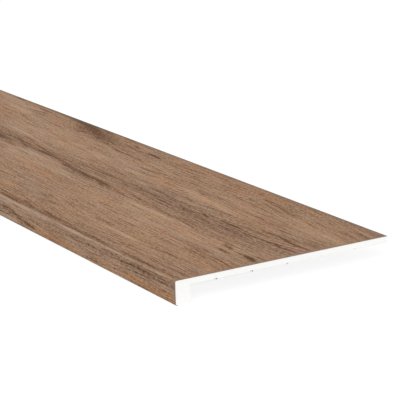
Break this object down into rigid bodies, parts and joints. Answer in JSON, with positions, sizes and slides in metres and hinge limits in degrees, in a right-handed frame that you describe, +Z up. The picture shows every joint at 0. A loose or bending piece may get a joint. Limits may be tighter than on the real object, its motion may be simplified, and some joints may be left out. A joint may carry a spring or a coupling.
{
  "type": "stair tread",
  "caption": "Square-nosed stair tread: white board with a nose block and grooved underside, and a wood-look facing wrapped over its top and nose.",
  "frame": {"origin": "under the middle of the tread, level with the bottom of the nose", "axes": "+X along the tread, +Y from the nose to the back edge, +Z up out of the walking surface"},
  "size_m": [1.2, 0.305, 0.03],
  "materials": {
    "white_core": "fine-celled white rigid foam board, sawn at the ends",
    "wood_decor": "grayish-brown wood-grain film, low sheen, embossed along the grain"
  },
  "bodies": {
    "root": {"core_board": "white_core", "decor_layer": "wood_decor"}
  },
  "joints": []
}
